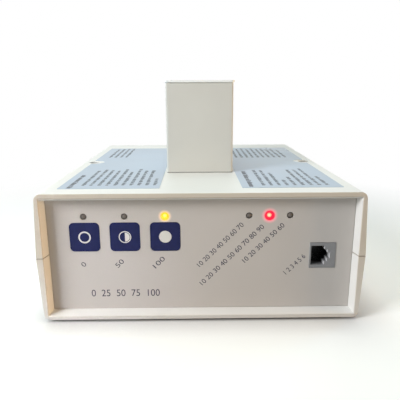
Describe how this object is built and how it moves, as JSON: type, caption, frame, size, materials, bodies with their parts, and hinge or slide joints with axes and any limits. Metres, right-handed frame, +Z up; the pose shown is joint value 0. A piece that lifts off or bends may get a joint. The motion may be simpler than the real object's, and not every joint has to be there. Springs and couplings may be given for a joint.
{
  "type": "fiber optic illuminator",
  "caption": "Bench fibre optic light source: split plastic case with recessed key panel and modular jack, light head on top with a rear light-guide port.",
  "frame": {"origin": "middle of the footprint, on the surface that the feet stand on", "axes": "+X to the right of someone facing the front panel, +Y to the rear, +Z up"},
  "size_m": [0.172, 0.198, 0.127],
  "materials": {
    "case_plastic": "fine moulded texture, cream",
    "head_plastic": "smooth, warm grey",
    "cap_plastic": "smooth, off-white",
    "panel_plastic": "satin",
    "panel_film": "satin printed film",
    "key_navy": "satin printed film",
    "led_dark": "diffused lens, unlit",
    "led_amber": "diffused lens, lit",
    "led_red": "diffused lens, lit",
    "jack_grey": "glossy grey",
    "gold_contact": "plated",
    "label_film": "glossy printed film",
    "screw_steel": "zinc plated",
    "pin_metal": "nickel plated",
    "foot_rubber": "matt",
    "reflector_glass": "dichroic mirror",
    "clear_glass": "clear",
    "socket_ceramic": "unglazed",
    "aluminium": "machined",
    "black_plastic": "fine texture",
    "board_green": "solder mask",
    "core_steel": "varnished laminations",
    "coil_tape": "wound tape",
    "capacitor_sleeve": "shrink sleeve",
    "terminal_green": "moulded",
    "cable_grey": "soft vinyl",
    "lead_white": "silicone sleeve"
  },
  "bodies": {
    "case": {"top_shell": "case_plastic", "bottom_shell": "case_plastic", "tower_shell": "head_plastic", "front_panel": "panel_plastic", "rear_panel": "panel_plastic", "panel_overlay": "panel_film", "leds_unlit": "led_dark", "led_amber": "led_amber", "led_red": "led_red", "jack_body": "jack_grey", "jack_contacts": "gold_contact", "label_left": "label_film", "label_right": "label_film", "case_screws": "screw_steel", "tower_screws": "screw_steel", "fan_screws": "screw_steel", "fan_nuts": "screw_steel", "board_screws": "screw_steel", "standoff_screws": "screw_steel", "transformer_screws": "screw_steel", "fan_guard": "screw_steel", "inlet_pins": "pin_metal", "feet": "foot_rubber", "lamp_reflector": "reflector_glass", "lamp_capsule": "clear_glass", "heat_filter": "clear_glass", "lamp_socket": "socket_ceramic", "light_port": "aluminium", "port_nut": "aluminium", "heatsink": "aluminium", "lamp_bracket": "aluminium", "filter_holder": "aluminium", "board_standoffs": "aluminium", "board_spacers": "aluminium", "transformer_bracket": "aluminium", "fan_frame": "black_plastic", "inlet_body": "black_plastic", "switch_frame": "black_plastic", "tact_switches": "black_plastic", "ic_packages": "black_plastic", "power_transistor": "black_plastic", "ribbon_connectors": "black_plastic", "keypad_board": "board_green", "control_board": "board_green", "transformer_core": "core_steel", "transformer_coil": "coil_tape", "capacitors": "capacitor_sleeve", "terminal_block": "terminal_green", "ribbon_cable": "cable_grey", "lamp_leads": "lead_white"},
    "key_off": {"key_off": "key_navy"},
    "key_low": {"key_low": "key_navy"},
    "key_high": {"key_high": "key_navy"},
    "fan_rotor": {"fan_rotor": "black_plastic"},
    "tower_cap": {"tower_cap": "cap_plastic"},
    "fuse_drawer": {"fuse_drawer": "black_plastic", "fuse": "clear_glass"},
    "switch_rocker": {"switch_rocker": "black_plastic"},
    "clamp_screw": {"clamp_screw": "screw_steel"},
    "clamp_knob": {"clamp_knob": "black_plastic"}
  },
  "joints": [
    {"name": "key_off_press", "type": "slide", "parent": "case", "child": "key_off", "axis": [0, 1, 0], "range_m": [0, 0.0005], "stiffness_N_per_m": 1500, "springref_m": -0.0001},
    {"name": "key_low_press", "type": "slide", "parent": "case", "child": "key_low", "axis": [0, 1, 0], "range_m": [0, 0.0005], "stiffness_N_per_m": 1500, "springref_m": -0.0001},
    {"name": "key_high_press", "type": "slide", "parent": "case", "child": "key_high", "axis": [0, 1, 0], "range_m": [0, 0.0005], "stiffness_N_per_m": 1500, "springref_m": -0.0001},
    {"name": "fan_spin", "type": "hinge", "parent": "case", "child": "fan_rotor", "pos_m": [-0.043, 0.0829, 0.03565], "axis": [0, 1, 0], "continuous": true},
    {"name": "cap_lift", "type": "slide", "parent": "case", "child": "tower_cap", "axis": [0, 0, 1], "range_m": [0, 0.04]},
    {"name": "drawer_pull", "type": "slide", "parent": "case", "child": "fuse_drawer", "axis": [0, 1, 0], "range_m": [0, 0.015]},
    {"name": "rocker_tilt", "type": "hinge", "parent": "case", "child": "switch_rocker", "pos_m": [0.024, 0.0924, 0.0275], "axis": [1, 0, 0], "range_deg": [0, 18]},
    {"name": "clamp_travel", "type": "slide", "parent": "case", "child": "clamp_screw", "axis": [0, 0, 1], "range_m": [-0.0007, 0.0028]},
    {"name": "clamp_turn", "type": "hinge", "parent": "clamp_screw", "child": "clamp_knob", "pos_m": [0, 0.0428, 0.111], "axis": [0, 0, 1], "range_deg": [-360, 1440]}
  ],
  "couplings": [
    {"joint": "clamp_turn", "follows": "clamp_travel", "rad_per_m": 8976}
  ]
}
